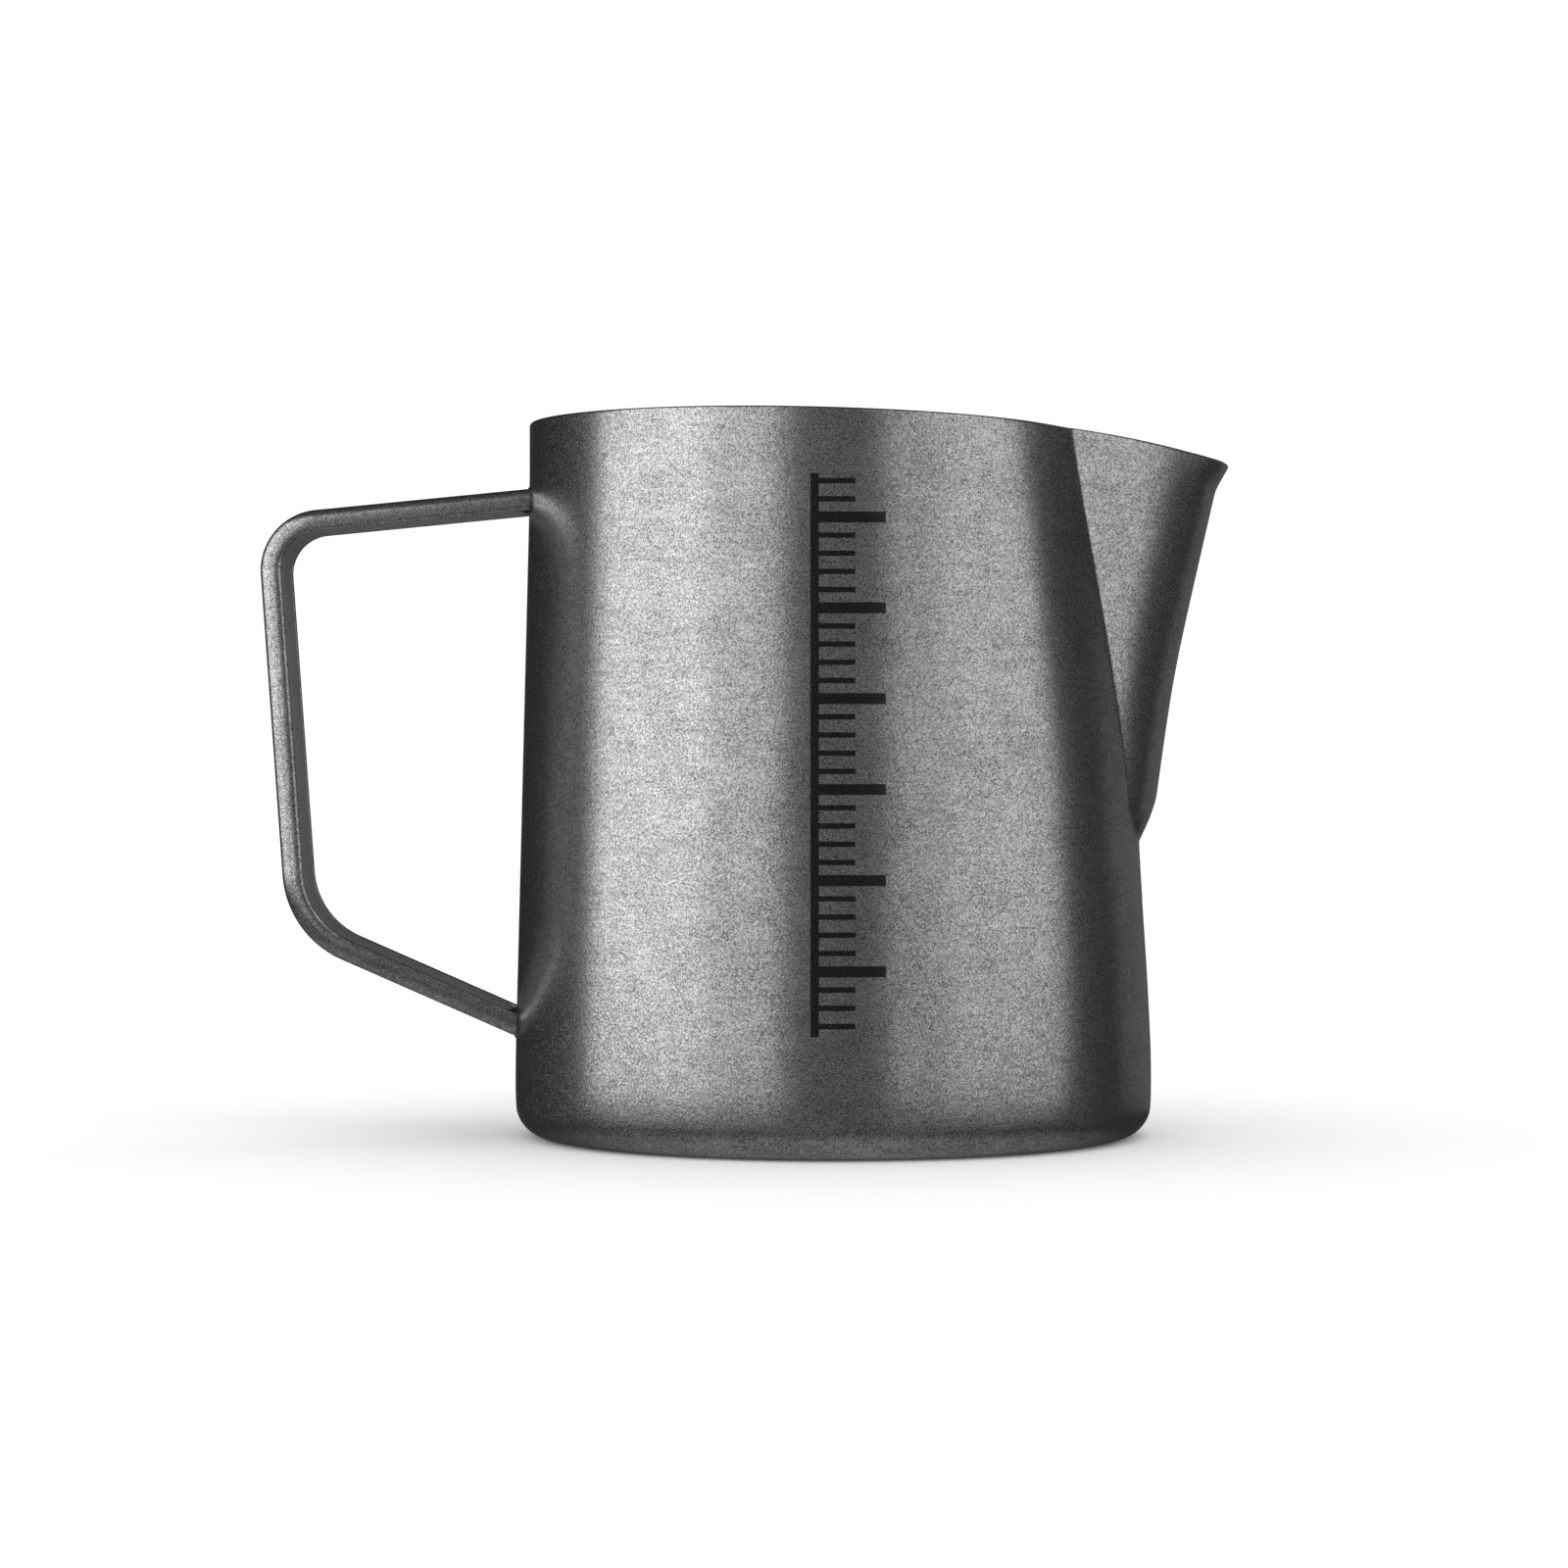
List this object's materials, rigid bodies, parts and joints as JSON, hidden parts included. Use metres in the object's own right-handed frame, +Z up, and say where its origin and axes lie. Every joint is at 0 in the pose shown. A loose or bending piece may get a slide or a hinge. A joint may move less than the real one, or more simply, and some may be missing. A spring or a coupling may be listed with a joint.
{
  "type": "steel pouring jug",
  "caption": "Straight-sided steel jug with a V-shaped pouring spout and an angular strip handle, for melting and pouring wax.",
  "frame": {"origin": "on the round shell's axis, in the plane that the jug stands on", "axes": "+X towards the spout, -X towards the handle, +Z up towards the open rim, +Y to the left when facing along +X"},
  "size_m": [0.1217, 0.0802, 0.0896],
  "materials": {
    "shell_steel": "stonewashed stainless steel, satin",
    "handle_steel": "stonewashed stainless steel, satin",
    "liner_steel": "plain rolled stainless steel, dull",
    "weld_steel": "dressed weld, slightly darkened"
  },
  "bodies": {
    "root": {"body": "shell_steel", "handle_shell": "handle_steel", "handle_liner": "liner_steel", "upper_weld_bead": "weld_steel", "lower_weld_bead": "weld_steel"}
  },
  "joints": []
}
